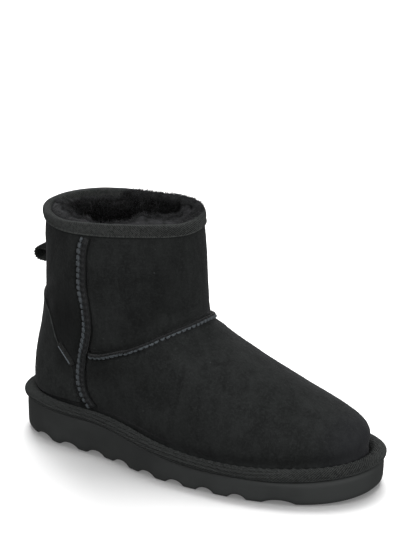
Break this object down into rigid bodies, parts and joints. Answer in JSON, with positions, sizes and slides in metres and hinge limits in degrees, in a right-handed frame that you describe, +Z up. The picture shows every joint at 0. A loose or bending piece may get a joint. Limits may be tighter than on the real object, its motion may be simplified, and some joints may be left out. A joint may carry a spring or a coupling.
{
  "type": "sheepskin ankle boot",
  "caption": "Hollow pull-on ankle boot with a thick fleece-lined upper, bound collar, heel counter, padded rand and scalloped wedge sole.",
  "frame": {"origin": "on the floor under the middle of the boot's box", "axes": "+X from heel to toe, +Y to the inner side of the foot, +Z up"},
  "size_m": [0.2794, 0.1158, 0.1814],
  "materials": {
    "suede": "brushed matt nap",
    "sole_foam": "satin moulded foam",
    "rand_cloth": "matt brushed twill",
    "fleece": "curled wool pile",
    "tape": "matt ribbed tape"
  },
  "bodies": {
    "root": {"outsole": "sole_foam", "rand": "rand_cloth", "insole": "fleece", "upper": "suede", "heel_counter": "suede", "collar_binding": "tape", "pull_loop": "tape"}
  },
  "joints": []
}
